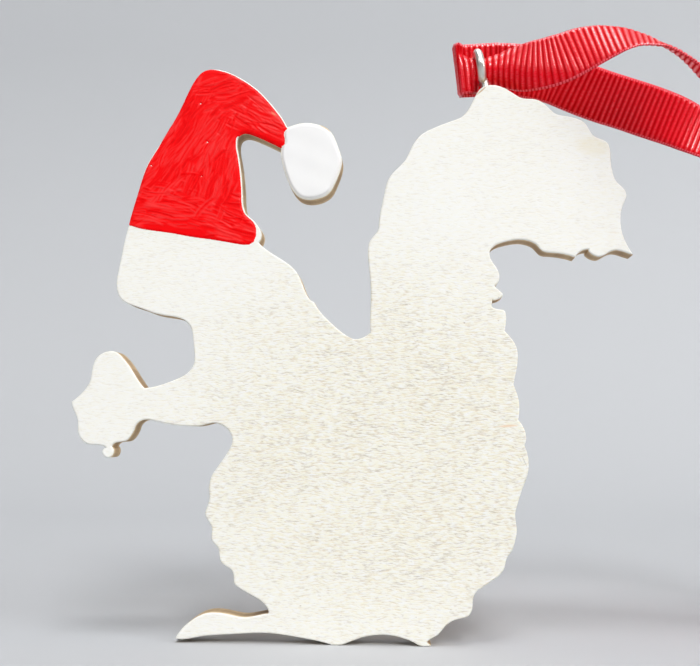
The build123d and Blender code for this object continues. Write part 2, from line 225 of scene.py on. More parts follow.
def grosgrain_material():
    """Its UV map holds millimetres along and the place across, from -1 to 1."""
    made, tree, shader = new_material("grosgrain")
    place = node(tree, "ShaderNodeUVMap").outputs[0]
    parts = node(tree, "ShaderNodeSeparateXYZ", {0: place}).outputs
    turns = calc(tree, "MULTIPLY", parts[0], math.pi * MM / RIB_PITCH)
    crest = calc(tree, "ABSOLUTE", calc(tree, "COSINE", turns))
    inner = calc(tree, "LESS_THAN", calc(tree, "ABSOLUTE", parts[1]), 0.905)
    threads = noise(tree, place, (2.0, 30.0, 1.0), detail=3.0, roughness=0.7)
    patches = noise(tree, place, (0.12, 0.7, 1.0), detail=1.0)
    # The valleys between the ribs are a darker red than the crests: painted shade in the grooves,
    # and the crests painted a little lighter.
    shaded_valley = mix_colours(tree, patches, screen(200, 0, 8), screen(220, 0, 14))
    rib = mix_colours(tree, threads, screen(252, 0, 26), screen(255, 16, 48))
    lift = calc(tree, "MULTIPLY", calc(tree, "POWER", crest, 2.2), inner)
    braid_and_highlight = calc(tree, "ABSOLUTE", calc(tree, "COSINE", calc(tree, "MULTIPLY", turns, 2.0)))
    braid_and_highlight = calc(tree, "MULTIPLY", braid_and_highlight, calc(tree, "SUBTRACT", 1.0, inner))
    lift = calc(tree, "MAXIMUM", lift, braid_and_highlight)
    colour = mix_colours(tree, lift, shaded_valley, rib)
    # The woven edges are mixed towards pale pink: a painted highlight along them.
    colour = mix_colours(tree, calc(tree, "MULTIPLY", braid_and_highlight, 0.7), colour, screen(255, 108, 122))
    tree.links.new(colour, shader.inputs["Base Color"])
    gloss = calc(tree, "MULTIPLY_ADD", lift, -0.52, 0.85)
    tree.links.new(calc(tree, "MULTIPLY_ADD", threads, 0.1, gloss), shader.inputs["Roughness"])
    shader.inputs["Specular IOR Level"].default_value = 0.1
    shader.inputs["Specular Tint"].default_value = screen(255, 180, 186)
    strands = between(tree, noise(tree, place, (1.6, 26.0, 1.0), detail=2.0), 0.36, 0.62)
    gleam = calc(tree, "MULTIPLY", lift, calc(tree, "MULTIPLY_ADD", strands, 0.75, 0.25))
    tree.links.new(gleam, shader.inputs["Coat Weight"])
    shader.inputs["Coat Roughness"].default_value = 0.28
    shader.inputs["Coat IOR"].default_value = 1.65
    roughen(tree, shader, strands, 0.6, 0.04 * MM)
    return made


grosgrain = grosgrain_material()


def smooth_line(route):
    """Points of the NURBS spline whose control points are the route's, in metres."""
    curve = bpy.data.curves.new("route", "CURVE")
    curve.dimensions = "3D"
    curve.resolution_u = 24
    spline = curve.splines.new("NURBS")
    spline.points.add(len(route) - 1)
    for point, place in zip(spline.points, route):
        point.co = (*(Vector(place) * MM), 1)
    spline.order_u = 3
    spline.use_endpoint_u = True
    holder = bpy.data.objects.new("route", curve)
    mesh = bpy.data.meshes.new_from_object(holder)
    points = np.array([vertex.co[:] for vertex in mesh.vertices])
    bpy.data.objects.remove(holder)
    bpy.data.meshes.remove(mesh)
    return points


def along(points):
    """The distance of each point along its line."""
    steps = np.linalg.norm(np.diff(points, axis=0), axis=1)
    return np.concatenate([[0], np.cumsum(steps)])


def unit(vectors):
    """Each row scaled to length 1."""
    return vectors / np.linalg.norm(vectors, axis=-1, keepdims=True)


def add_piece(name, shape, material):
    """The finished bmesh as an object at the origin."""
    mesh = bpy.data.meshes.new(name)
    shape.to_mesh(mesh)
    shape.free()
    mesh.shade_smooth()
    mesh.materials.append(material)
    made = bpy.data.objects.new(name, mesh)
    bpy.context.scene.collection.objects.link(made)
    return made


def rolled_band(name, length, place_points):
    """A grid rolled up into a flat closed band; place_points puts its points in place."""
    rows = round(length / RIB_PITCH * SAMPLES_PER_RIB)
    band = bmesh.new()
    bmesh.ops.create_grid(band, x_segments=rows, y_segments=BAND_COLUMNS, size=0.5)
    flat = np.array([vertex.co[:2] for vertex in band.verts]) + 0.5
    distance = flat[:, 0] * length
    turn = flat[:, 1]
    side = np.where(turn <= 0.5, 1.0, -1.0)
    swing = np.where(turn <= 0.5, 4 * turn - 1, 3 - 4 * turn)
    across = 0.6 * swing + 0.4 * np.sin(swing * math.pi / 2)
    places = place_points(distance, across, side)
    uv = band.loops.layers.uv.new("UVMap")
    for face in band.faces:
        for loop in face.loops:
            index = loop.vert.index
            loop[uv].uv = (distance[index] / MM, across[index])
    for vertex, place in zip(band.verts, places):
        vertex.co = place
    bmesh.ops.remove_doubles(band, verts=band.verts, dist=SEAM_WELD)
    for cap in bmesh.ops.holes_fill(band, edges=band.edges, sides=0)["faces"]:
        for edge in cap.edges:
            edge.smooth = False
    bmesh.ops.recalc_face_normals(band, faces=band.faces)
    return add_piece(name, band, grosgrain)


def rib_profile(distance, across):
    """Half the ribbon's thickness: round ribs inside, a thinner flat edge."""
    rib = np.abs(np.cos(math.pi * distance / RIB_PITCH)) ** RIB_ROUNDNESS
    inner = np.clip((INNER_SHARE - np.abs(across)) / INNER_EDGE, 0, 1)
    rounded = np.sqrt(np.maximum(0, 1 - np.abs(across) ** SELVEDGE_SQUARENESS))
    return (SELVEDGE_HALF_THICKNESS + RIB_HEIGHT * rib * inner) * rounded


def read_along(places, distances, rows):
    """The rows read at places along their distances."""
    return np.stack([np.interp(places, distances, rows[:, axis]) for axis in range(3)], axis=1)


def ribbon_strand(name, route, turns, cut_slant=0.0):
    """A strand along a route; the object and the line it follows."""
    line = smooth_line(route)
    reach = along(line)
    fine = np.linspace(0, reach[-1], LINE_SAMPLES)
    middle = read_along(fine, reach, line)
    tangent = unit(np.gradient(middle, axis=0))
    keys = np.array([turn[0] for turn in turns]) * MM
    way = read_along(fine, keys, np.array([turn[1] for turn in turns]))
    upward = unit(way - (way * tangent).sum(axis=1, keepdims=True) * tangent)
    outward = np.cross(tangent, upward)
    curl = np.radians(np.interp(fine, keys, [turn[2] for turn in turns]))
    lower_curl = np.radians(np.interp(fine, keys, [turn[3] for turn in turns]))
    span = np.linspace(-1, 1, SPAN_SAMPLES)
    lean = np.where(span > 0, -curl[:, None] * span, -lower_curl[:, None] * span)
    step = RIBBON_HALF_WIDTH * (span[1] - span[0])
    rise = np.cumsum(np.cos(lean), axis=1) * step
    reach_out = np.cumsum(np.sin(lean), axis=1) * step
    half_way = SPAN_SAMPLES // 2
    rise -= rise[:, half_way : half_way + 1]
    reach_out -= reach_out[:, half_way : half_way + 1]

    def place_points(distance, across, side):
        row = np.interp(distance, fine, np.arange(len(fine)))
        column = np.interp(across, span, np.arange(len(span)))
        low_row = np.minimum(row.astype(int), len(fine) - 2)
        low_column = np.minimum(column.astype(int), len(span) - 2)
        row_share = row - low_row
        column_share = column - low_column

        def read_row(table, chosen):
            low = table[chosen, low_column] * (1 - column_share)
            return low + table[chosen, low_column + 1] * column_share

        def read(table):
            first = read_row(table, low_row)
            second = read_row(table, low_row + 1)
            return first * (1 - row_share) + second * row_share

        def read_way(table):
            first = table[low_row] * (1 - row_share)[:, None]
            return first + table[low_row + 1] * row_share[:, None]

        up = read_way(upward)
        out = read_way(outward)
        slope = read(lean)
        half = rib_profile(distance, across) * side
        near_end = np.clip((distance - reach[-1] + CUT_REACH) / CUT_REACH, 0, 1)
        cut = cut_slant * across * near_end
        climb = read(rise) - np.sin(slope) * half
        stand = read(reach_out) + np.cos(slope) * half
        base = read_way(middle) + cut[:, None] * read_way(tangent)
        return base + climb[:, None] * up + stand[:, None] * out

    return rolled_band(name, reach[-1], place_points), line


front_strand, front_line = ribbon_strand("front_strand", front_route, front_turns)
rear_strand, rear_line = ribbon_strand("rear_strand", rear_route, rear_turns)

# The ribbon's far end: both strands are tied in one overhand knot that lies on
# the ground, and two short ends with slanted cuts come out of it.
front_tail_route = [(94.0, 7.1, 3.2), (98.2, 7.1, 3.2), (103.0, 5.4, 1.4), (107.6, 2.0, 1.2)]
rear_tail_route = [(94.0, 9.3, 3.2), (98.0, 9.3, 3.2), (102.6, 11.6, 1.4), (108.4, 13.4, 1.2)]
front_tail_turns = [
    (0, (0, 1, 0.5), 165, 165),
    (5, (0.1, 1, 0.2), 60, 60),
    (10, (0.6, 1, 0), 0, 0),
    (16, (0.7, 1, 0), 0, 0),
]
rear_tail_turns = [
    (0, (0, 1, -0.4), 165, 165),
    (5, (0, 1, -0.2), 60, 60),
    (10, (-0.4, 1, 0), 0, 0),
    (16, (-0.4, 1, 0), 0, 0),
]
front_tail, _ = ribbon_strand("front_tail", front_tail_route, front_tail_turns, cut_slant=2.2 * MM)
rear_tail, _ = ribbon_strand("rear_tail", rear_tail_route, rear_tail_turns, cut_slant=-2.0 * MM)

KNOT_END = 1.98
KNOT_SAMPLES = 420
KNOT_LENGTH_SCALE = 0.29 * MM
KNOT_DEPTH_SCALE = 0.88 * MM
KNOT_HEIGHT_SCALE = 0.82 * MM
BUNCH_HALF_WIDTH = 1.42 * MM
BUNCH_HALF_THICKNESS = 0.66 * MM
BUNCH_FOLD = 0.07 * MM
BUNCH_RIB = 0.05 * MM


def overhand_knot():
    """The doubled ribbon, bunched into a thick band, along an open overhand knot."""
    centre = np.array((91.0, 8.2, 3.25)) * MM
    turn = np.linspace(-KNOT_END, KNOT_END, KNOT_SAMPLES)
    run = (turn**5 - 10 * turn) * KNOT_LENGTH_SCALE
    sway = (turn**3 - 3 * turn) * KNOT_DEPTH_SCALE
    lift = (turn**4 - 4 * turn**2 + 2) * KNOT_HEIGHT_SCALE
    line = centre + np.stack([run, sway, lift], axis=1)
    reach = along(line)
    tangent = unit(np.gradient(line, axis=0))
    outward = line - centre
    outward = unit(outward - (outward * tangent).sum(axis=1, keepdims=True) * tangent)
    sideways = np.cross(tangent, outward)

    def place_points(distance, across, side):
        arch = np.sqrt(np.maximum(0, 1 - across**2)) * side
        fold = BUNCH_FOLD * np.cos(7 * across) * arch
        rib = BUNCH_RIB * np.abs(np.cos(math.pi * distance / RIB_PITCH)) * arch
        wide = BUNCH_HALF_WIDTH * across
        thick = BUNCH_HALF_THICKNESS * arch + fold + rib
        places = read_along(distance, reach, line)
        places = places + wide[:, None] * read_along(distance, reach, sideways)
        return places + thick[:, None] * read_along(distance, reach, outward)

    return rolled_band("knot", reach[-1], place_points)


knot = overhand_knot()
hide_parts("ribbon_front_strand")
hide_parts("ribbon_rear_strand")
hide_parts("ribbon_knot")
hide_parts("ribbon_front_tail")
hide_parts("ribbon_rear_tail")
for piece in (front_strand, rear_strand, knot, front_tail, rear_tail):
    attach(piece, "board")

# The screw eye: one nickel-plated wire, bent to a ring whose cut end stops
# beside the neck, with a rolled thread on the shank inside the board.
WIRE_RADIUS = 0.6 * MM
WIRE_SIDES = 24
RING_RADIUS = 2.1 * MM
RING_ARC = 336
RING_STEPS = 150
RING_SIDESTEP = 0.30 * MM
SHANK_OVERLAP = 0.3 * MM
SHANK_END = 11.7 * MM
SHANK_STEP = 0.08 * MM
POINT_LENGTH = 1.3 * MM
BLUNTNESS = 0.04
THREAD_START = 3.3 * MM
THREAD_PITCH = 0.8 * MM
THREAD_DEPTH = 0.14 * MM
eye_lean = math.radians(10.5)
axis_up = Vector((-math.sin(eye_lean), 0, math.cos(eye_lean)))
ring_normal = Vector((math.cos(eye_lean), 0, math.sin(eye_lean)))


def nickel_material():
    """Plated wire: bright, with slightly dull spots."""
    made, tree, shader = new_material("nickel")
    place = node(tree, "ShaderNodeTexCoord").outputs["Object"]
    spots = noise(tree, place, (900, 900, 900), detail=4)
    colour = mix_colours(tree, spots, screen(198, 194, 186), screen(238, 236, 230))
    tree.links.new(colour, shader.inputs["Base Color"])
    shader.inputs["Metallic"].default_value = 1.0
    tree.links.new(calc(tree, "MULTIPLY_ADD", spots, 0.3, 0.2), shader.inputs["Roughness"])
    return made


def verts_of(made):
    """The vertices among what an operator made."""
    return [item for item in made if isinstance(item, bmesh.types.BMVert)]


def open_edges_of(made):
    """The edges among what an operator made that have a face on one side only."""
    return [item for item in made if isinstance(item, bmesh.types.BMEdge) and item.is_boundary]


def loop_of(verts):
    """The edges that meet at the vertices."""
    return list({edge for vert in verts for edge in vert.link_edges})


def middle_of(verts):
    """The mean place of the vertices."""
    return sum((vert.co for vert in verts), Vector()) / len(verts)


def rounded_end(shape, loop, way, radius):
    """A rounded end on an open loop of wire: three smaller loops, and a cap."""
    for share, advance in ((0.92, 0.3), (0.7, 0.3), (0.35, 0.2)):
        grown = bmesh.ops.extrude_edge_only(shape, edges=loop)["geom"]
        verts = verts_of(grown)
        middle = middle_of(verts)
        for vert in verts:
            away = (vert.co - middle).normalized()
            vert.co = middle + away * radius * share + way * radius * advance
        loop = open_edges_of(grown)
    bmesh.ops.holes_fill(shape, edges=loop, sides=0)


def screw_eye():
    """The ring, spun from a circle, and the shank with its thread, drawn down from another."""
    shape = bmesh.new()
    start = ring_centre - axis_up * RING_RADIUS
    section = bmesh.ops.create_circle(shape, segments=WIRE_SIDES, radius=WIRE_RADIUS)["verts"]
    turned = Vector((0, 0, 1)).rotation_difference(Vector((0, 1, 0)))
    for vert in section:
        vert.co = start + (turned @ vert.co)
    first_loop = loop_of(section)
    spun = bmesh.ops.spin(
        shape,
        geom=section + first_loop,
        cent=ring_centre,
        axis=ring_normal,
        dvec=-ring_normal * RING_SIDESTEP / RING_STEPS,
        angle=math.radians(RING_ARC),
        steps=RING_STEPS,
    )["geom_last"]
    for loop in (first_loop, open_edges_of(spun)):
        verts = list({vert for edge in loop for vert in edge.verts})
        middle = middle_of(verts)
        away = (middle - ring_centre).cross(ring_normal).normalized()
        centres = [face.calc_center_median() for edge in loop for face in edge.link_faces]
        inside = sum(centres, Vector()) / len(centres)
        way = away if away.dot(middle - inside) > 0 else -away
        rounded_end(shape, loop, way, WIRE_RADIUS)
    shank = bmesh.ops.create_circle(shape, segments=WIRE_SIDES, radius=WIRE_RADIUS)["verts"]
    upright = Vector((0, 0, 1)).rotation_difference(axis_up)
    for vert in shank:
        vert.co = ring_centre - axis_up * (RING_RADIUS - SHANK_OVERLAP) + upright @ vert.co
    loop = loop_of(shank)
    bmesh.ops.holes_fill(shape, edges=loop, sides=0)
    for depth in np.arange(RING_RADIUS, SHANK_END, SHANK_STEP):
        grown = bmesh.ops.extrude_edge_only(shape, edges=loop)["geom"]
        verts = verts_of(grown)
        loop = open_edges_of(grown)
        middle = ring_centre - axis_up * depth
        point = min(1, max(BLUNTNESS, (SHANK_END - depth) / POINT_LENGTH))
        for vert in verts:
            away = vert.co - middle
            away = (away - axis_up * away.dot(axis_up)).normalized()
            angle = math.atan2(away.y, away.dot(ring_normal))
            phase = depth / THREAD_PITCH - angle / (2 * math.pi)
            groove = abs((phase % 1) - 0.5) * 2 if depth > THREAD_START else 0
            vert.co = middle + away * (WIRE_RADIUS - THREAD_DEPTH * groove) * point
    bmesh.ops.holes_fill(shape, edges=loop, sides=0)
    bmesh.ops.recalc_face_normals(shape, faces=shape.faces)
    return add_piece("wire_eye", shape, nickel_material())


eye = screw_eye()
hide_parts("screw_eye")
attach(eye, "eye")

# The board: three layers of thin wood, glued and sawn together. The front one
# is rubbed with whitewash, which runs over its softened edge and lets the
# grain's short dashes through. The back is bare.
EDGE_ROUNDING = 0.2 * MM
SAWN_CORNER = math.radians(60)
SHARP_CORNER = math.radians(35)
FACE_TOLERANCE = 0.001 * MM
CAD_WELD = 0.0001 * MM


def vector_sum(tree, operation, first, second):
    """The result of one sum over two vectors."""
    inputs = {0: first, 1: second}
    return node(tree, "ShaderNodeVectorMath", inputs, operation=operation).outputs[0]


def board_coordinates(tree):
    """Places in millimetres, their parts, and how far the surface looks back."""
    place = node(tree, "ShaderNodeTexCoord").outputs["Object"]
    scaled = vector_sum(tree, "MULTIPLY", place, (1000, 1000, 1000))
    normal = node(tree, "ShaderNodeNewGeometry").outputs["Normal"]
    facing = node(tree, "ShaderNodeSeparateXYZ", {0: normal}).outputs["Y"]
    parts = node(tree, "ShaderNodeSeparateXYZ", {0: scaled}).outputs
    return scaled, parts, facing


def sawn_edge(tree, place, dark, light):
    """Raw wood cut by a fine blade: lines across the edge and scorched patches."""
    saw = noise(tree, place, (2.6, 0.25, 2.6), detail=3, roughness=0.65)
    scorch = noise(tree, place, (0.22, 0.05, 0.22), detail=2)
    fibres = noise(tree, place, (0.8, 9.0, 0.8), detail=3, roughness=0.7)
    share = calc(tree, "MULTIPLY_ADD", saw, 0.6, -0.05)
    share = calc(tree, "MULTIPLY_ADD", fibres, 0.35, share)
    colour = mix_colours(tree, share, dark, light)
    burnt = calc(tree, "MULTIPLY", between(tree, scorch, 0.48, 0.68), 0.45)
    return mix_colours(tree, burnt, colour, screen(112, 82, 56)), saw


def layer_material(name, dark, light, finish=None):
    """A layer's wood, with a finish over its face where one is given."""
    made, tree, shader = new_material(name)
    place, parts, facing = board_coordinates(tree)
    colour, height = sawn_edge(tree, place, dark, light)
    if finish:
        colour, height = finish(tree, place, parts, facing, colour, height)
    shader.inputs["Roughness"].default_value = 0.7
    shader.inputs["Specular IOR Level"].default_value = 0.2
    tree.links.new(colour, shader.inputs["Base Color"])
    roughen(tree, shader, height, 0.5, 0.08 * MM)
    return made


# Marks in the whitewash: the middle, half the length and width in millimetres,
# the angle in degrees, the strength and the colour.
whitewash_marks = [
    (33.7, 67.6, 2.9, 1.6, -8, 0.25, screen(241, 229, 184)),
    (21.4, 29.0, 1.5, 0.2, 3, 0.6, screen(240, 204, 160)),
    (23.5, 24.3, 1.1, 0.07, -66, 0.6, screen(190, 188, 180)),
    (22.9, 24.6, 0.9, 0.06, -62, 0.5, screen(198, 196, 188)),
    (24.1, 24.0, 0.8, 0.06, -68, 0.5, screen(198, 196, 188)),
    (18.6, 75.9, 1.1, 0.14, 41, 0.8, screen(205, 164, 116)),
    (-3.5, 70.95, 1.2, 0.25, -34, 0.8, screen(222, 196, 150)),
]


def mark(tree, parts, x, z, half_length, half_width, degrees):
    """The share of a soft oval at a place on the front."""
    turn = math.radians(degrees)
    across = calc(tree, "SUBTRACT", parts["X"], x)
    up = calc(tree, "SUBTRACT", parts["Z"], z)
    lengthways = calc(tree, "MULTIPLY", up, math.sin(turn) / half_length)
    lengthways = calc(tree, "MULTIPLY_ADD", across, math.cos(turn) / half_length, lengthways)
    sideways = calc(tree, "MULTIPLY", up, math.cos(turn) / half_width)
    sideways = calc(tree, "MULTIPLY_ADD", across, -math.sin(turn) / half_width, sideways)
    squares = calc(tree, "POWER", sideways, 2.0)
    squares = calc(tree, "MULTIPLY_ADD", lengthways, lengthways, squares)
    return between(tree, squares, 1.0, 0.2)


def faded(tree, value, low, high, amount, strength):
    """A value's share of the way from low to high, made fainter by an amount."""
    fade = calc(tree, "MULTIPLY", amount, strength)
    return calc(tree, "MULTIPLY", between(tree, value, low, high), fade)


def face_over_edge(tree, on_face, edge, face, edge_height, face_height):
    """The sawn edge's colour and height, and the face's where the face is."""
    height = node(tree, "ShaderNodeMix", {0: on_face, 2: edge_height, 3: face_height}).outputs[0]
    return mix_colours(tree, on_face, edge, face), height


def whitewash(tree, place, parts, facing, wood, saw):
    """Cream-white paint on the face and over its softened edge, with dashes of bare grain."""
    warp = noise(tree, place, (0.25, 0.25, 0.25), detail=1)
    lift = node(tree, "ShaderNodeCombineXYZ", {"Z": warp}).outputs[0]
    bent = vector_sum(tree, "ADD", place, lift)
    fine = noise(tree, bent, (1.25, 0.8, 5.4), detail=2.0, roughness=0.6, distortion=0.12)
    broad = noise(tree, place, (0.055, 0.05, 0.075), detail=2)
    lower = mark(tree, parts, 6.0, 26.0, 36.0, 31.0, 0)
    amount = calc(tree, "MULTIPLY_ADD", lower, 0.6, 0.4)
    density = calc(tree, "MULTIPLY", broad, 0.14)
    density = calc(tree, "MULTIPLY_ADD", lower, 0.06, density)
    worn = calc(tree, "ADD", fine, density)
    dash = faded(tree, worn, 0.59, 0.82, amount, 0.68)
    veil = noise(tree, bent, (0.9, 0.6, 3.6), detail=3, roughness=0.6, distortion=0.1)
    veil = faded(tree, veil, 0.36, 0.66, amount, 0.9)
    coat = mix_colours(tree, broad, screen(249, 249, 247), screen(248, 247, 241))
    coat = mix_colours(tree, veil, coat, screen(245, 241, 219))
    tints = noise(tree, bent, (0.5, 0.4, 1.6), detail=1)
    stain = ramp(
        tree,
        tints,
        [
            (0.38, screen(232, 220, 192)),
            (0.5, screen(216, 200, 172)),
            (0.64, screen(196, 184, 166)),
        ],
    )
    coat = mix_colours(tree, dash, coat, stain)
    specks = noise(tree, bent, (1.3, 0.5, 2.7), detail=1.5)
    speck = faded(tree, specks, 0.74, 0.80, amount, 0.5)
    coat = mix_colours(tree, speck, coat, screen(150, 128, 104))
    for x, z, half_length, half_width, degrees, strength, colour in whitewash_marks:
        shape = mark(tree, parts, x, z, half_length, half_width, degrees)
        coat = mix_colours(tree, calc(tree, "MULTIPLY", shape, strength), coat, colour)
    ragged = noise(tree, place, (1.1, 0.3, 1.1), detail=2)
    reach = calc(tree, "MULTIPLY_ADD", ragged, 0.5, -1.62)
    over_edge = calc(tree, "LESS_THAN", parts["Y"], reach)
    on_face = calc(tree, "MAXIMUM", over_edge, calc(tree, "LESS_THAN", facing, -0.3))
    hollow = calc(tree, "MULTIPLY", dash, -1.0)
    return face_over_edge(tree, on_face, wood, coat, saw, hollow)


def bare_back(tree, place, parts, facing, wood, saw):
    """Unpainted pale wood on the back, with long grain lines."""
    grain = noise(tree, place, (0.10, 0.3, 1.5), detail=5, roughness=0.6, distortion=0.6)
    pores = noise(tree, place, (0.5, 0.5, 7.0), detail=2)
    face = mix_colours(tree, grain, screen(206, 168, 120), screen(232, 204, 160))
    dark = calc(tree, "MULTIPLY", between(tree, pores, 0.62, 0.74), 0.5)
    face = mix_colours(tree, dark, face, screen(158, 118, 76))
    on_face = calc(tree, "GREATER_THAN", facing, 0.35)
    return face_over_edge(tree, on_face, wood, face, saw, grain)


def softened_front():
    """The front layer with its front edge rubbed round."""
    layer = bmesh.new()
    layer.from_mesh(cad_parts["front_ply"].data)
    bmesh.ops.remove_doubles(layer, verts=layer.verts, dist=CAD_WELD)
    bmesh.ops.dissolve_limit(
        layer, angle_limit=math.radians(0.5), verts=layer.verts, edges=layer.edges
    )
    front = min(vert.co.y for vert in layer.verts)
    rim = [
        edge
        for edge in layer.edges
        if all(abs(vert.co.y - front) < FACE_TOLERANCE for vert in edge.verts)
        and edge.calc_face_angle(0) > SAWN_CORNER
    ]
    bmesh.ops.bevel(
        layer,
        geom=rim,
        offset=EDGE_ROUNDING,
        affect="EDGES",
        segments=4,
        profile=0.5,
        material=-1,
    )
    bmesh.ops.triangulate(layer, faces=[face for face in layer.faces if len(face.verts) > 4])
    layer.normal_update()
    for edge in layer.edges:
        on_face = {face.normal.y < -0.99999 for face in edge.link_faces}
        edge.smooth = len(on_face) == 1 and edge.calc_face_angle(0) < SHARP_CORNER
    look = layer_material(
        "whitewashed_layer", screen(198, 170, 130), screen(238, 220, 184), whitewash
    )
    return add_piece("whitewashed_front", layer, look)


front_layer = softened_front()
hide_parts("front_ply")
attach(front_layer, "board")
for node_name, name, dark, light, finish in (
    ("core_ply", "core_layer", screen(162, 134, 100), screen(214, 188, 150), None),
    ("back_ply", "back_layer", screen(194, 166, 126), screen(236, 216, 180), bare_back),
):
    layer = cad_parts[node_name]
    layer.data.materials.clear()
    layer.data.materials.append(layer_material(name, dark, light, finish))

# The paint: two thick coats on the front, a brushed red one on the hat and a
# white one, laid on like a drop, on its pompom. The red runs over the board's
# softened edge on the left and stops short of it on the right.
NET_SPACING = 0.12 * MM
NET_TOLERANCE = 0.0005 * MM
COAT_SINK = 0.02 * MM
HAT_RIM_RADIUS = 0.28 * MM
POMPOM_RIM_RADIUS = 0.4 * MM
# How the red coat's rim runs over the edge: from how far inside, how far back
# and out it goes, and the same for the lip below it.
WRAP_REACH = 0.13 * MM
WRAP_BACK = 0.01 * MM
WRAP_OUT = 0.17 * MM
LIP_BACK = 0.05 * MM
LIP_WRAP_BACK = 0.17 * MM
LIP_WRAP_OUT = 0.065 * MM


def paint_net(node_name):
    """The front of a coat's slab, cut by planes into a fine net of faces."""
    skin = bmesh.new()
    skin.from_mesh(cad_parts[node_name].data)
    bmesh.ops.remove_doubles(skin, verts=skin.verts, dist=CAD_WELD)
    unseen = [face for face in skin.faces if face.normal.y > -0.5]
    bmesh.ops.delete(skin, geom=unseen, context="FACES")
    bmesh.ops.dissolve_faces(skin, faces=skin.faces)
    corners = np.array([vert.co[:] for vert in skin.verts])
    for axis, normal in ((0, (1, 0, 0)), (2, (0, 0, 1))):
        low = corners[:, axis].min()
        high = corners[:, axis].max()
        for place in np.arange(low + NET_SPACING / 2, high, NET_SPACING):
            point = [0, 0, 0]
            point[axis] = place
            bmesh.ops.bisect_plane(
                skin,
                geom=skin.verts[:] + skin.edges[:] + skin.faces[:],
                dist=NET_TOLERANCE,
                plane_co=point,
                plane_no=normal,
            )
    skin.verts.index_update()
    return skin


def depths_inside(points, rim):
    """How far each point is from the rim, and which of its edges is nearest."""
    depth = np.full(len(points), 1.0)
    nearest = np.zeros(len(points), int)
    for count, (start, end) in enumerate(rim):
        way = end - start
        share = np.clip((points - start) @ way / max(way @ way, 1e-18), 0, 1)
        gap = np.linalg.norm(points - start - share[:, None] * way, axis=1)
        nearest[gap < depth] = count
        depth = np.minimum(depth, gap)
    return depth, nearest


def rounded_rim(depth, radius):
    """A quarter round, from 0 at the rim to 1 a radius inside it."""
    return np.sqrt(np.maximum(0, 1 - (1 - np.clip(depth / radius, 0, 1)) ** 2))


def paint_coat(name, node_name, relief, wrap, material):
    """A coat: relief gives its height and shade, wrap how far its rim runs over the edge."""
    skin = paint_net(node_name)
    points = np.array([(vert.co.x, vert.co.z) for vert in skin.verts])
    rim_edges = [edge for edge in skin.edges if edge.is_boundary]
    rim = [np.array([(vert.co.x, vert.co.z) for vert in edge.verts]) for edge in rim_edges]
    depth, nearest = depths_inside(points, rim)
    height, shade = relief(points / MM, depth)
    board_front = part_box("front_ply")[0][1]
    outward = np.zeros_like(points)
    for edge, (start, end) in zip(rim_edges, rim):
        way = end - start
        normal = np.array((way[1], -way[0]))
        centre = edge.link_faces[0].calc_center_median()
        if normal @ (start - (centre.x, centre.z)) < 0:
            normal = -normal
        for vert in edge.verts:
            outward[vert.index] += normal
    length = np.linalg.norm(outward, axis=1, keepdims=True)
    outward = np.divide(outward, length, out=np.zeros_like(outward), where=length > 0)
    over = wrap(points / MM, outward)
    beside = np.array([rim_edges[count].verts[0].index for count in nearest])
    outward = outward[beside]
    over = over[beside] * np.clip(1 - depth / WRAP_REACH, 0, 1)
    for vert, up, push, way in zip(skin.verts, height, over, outward):
        vert.co.y = board_front - up + push * WRAP_BACK
        vert.co.x += way[0] * push * WRAP_OUT
        vert.co.z += way[1] * push * WRAP_OUT
    lip = verts_of(bmesh.ops.extrude_edge_only(skin, edges=rim_edges)["geom"])
    for vert in lip:
        above = next(edge.other_vert(vert) for edge in vert.link_edges if not edge.is_boundary)
        push = over[above.index]
        way = outward[above.index]
        vert.co.y += LIP_BACK + push * LIP_WRAP_BACK
        vert.co.x += way[0] * push * LIP_WRAP_OUT
        vert.co.z += way[1] * push * LIP_WRAP_OUT
    shade = np.append(shade, [0.5] * len(lip))
    bmesh.ops.recalc_face_normals(skin, faces=skin.faces)
    layer = skin.verts.layers.float.new("shade")
    for vert, value in zip(skin.verts, shade):
        vert[layer] = value
    return add_piece(name, skin, material)


def uneven(values, seed, waves=9):
    """A smooth uneven line over a coordinate in millimetres, within about -1 to 1."""
    chance = random.Random(seed)
    total = sum(
        np.sin(values * chance.uniform(2.0, 13.0) + chance.uniform(0, 6.28)) for _ in range(waves)
    )
    return total / math.sqrt(waves) * 0.7


# Brush strokes on the hat, in millimetres: each zone's middle, spread, angle in
# degrees and number of strokes.
stroke_zones = [
    (-26.0, 59.5, 5.5, 2.6, -8, 110),
    (-17.0, 57.4, 4.0, 2.4, -14, 90),
    (-27.0, 65.5, 4.5, 4.0, 50, 90),
    (-22.0, 71.5, 4.5, 4.5, 56, 130),
    (-18.5, 64.0, 3.0, 4.5, 72, 80),
    (-17.5, 76.5, 4.0, 2.2, 12, 70),
    (-13.0, 73.5, 3.5, 2.5, -30, 100),
    (-24.0, 77.0, 2.5, 2.5, 58, 40),
]
# Bare specks in the red: the middle and the size in millimetres.
bare_specks = [
    (-21.33, 74.88, 0.11),
    (-20.29, 69.19, 0.12),
    (-20.99, 64.24, 0.09),
    (-28.3, 65.9, 0.1),
]


